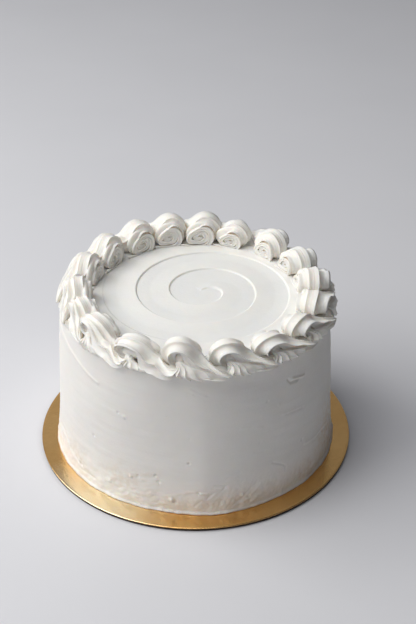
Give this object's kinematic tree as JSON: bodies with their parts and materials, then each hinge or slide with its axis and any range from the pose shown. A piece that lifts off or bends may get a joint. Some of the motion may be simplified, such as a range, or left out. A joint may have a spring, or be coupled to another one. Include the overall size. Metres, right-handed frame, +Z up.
{
  "type": "birthday cake",
  "caption": "Tall round cake in smooth white cream, with a piped border of rolled swirls and a spatula spiral on its flat top, on a round gold cake card.",
  "frame": {"origin": "centre of the cake card's underside, where it stands on the table", "axes": "+Z up through the cake; -Y is the front that the picture shows; +X to the right in the picture"},
  "size_m": [0.2032, 0.2032, 0.123],
  "materials": {
    "gold_card": "smooth gold foil on card, with a brown paper edge",
    "frosting": "smooth satin white cream with faint scraper streaks",
    "piped_cream": "soft satin white piped cream with ridges"
  },
  "bodies": {
    "root": {"cake_card": "gold_card", "frosted_cake": "frosting", "piped_swirl_01": "piped_cream", "piped_swirl_02": "piped_cream", "piped_swirl_03": "piped_cream", "piped_swirl_04": "piped_cream", "piped_swirl_05": "piped_cream", "piped_swirl_06": "piped_cream", "piped_swirl_07": "piped_cream", "piped_swirl_08": "piped_cream", "piped_swirl_09": "piped_cream", "piped_swirl_10": "piped_cream", "piped_swirl_11": "piped_cream", "piped_swirl_12": "piped_cream", "piped_swirl_13": "piped_cream", "piped_swirl_14": "piped_cream", "piped_swirl_15": "piped_cream", "piped_swirl_16": "piped_cream", "piped_swirl_17": "piped_cream", "piped_swirl_18": "piped_cream"}
  },
  "joints": []
}
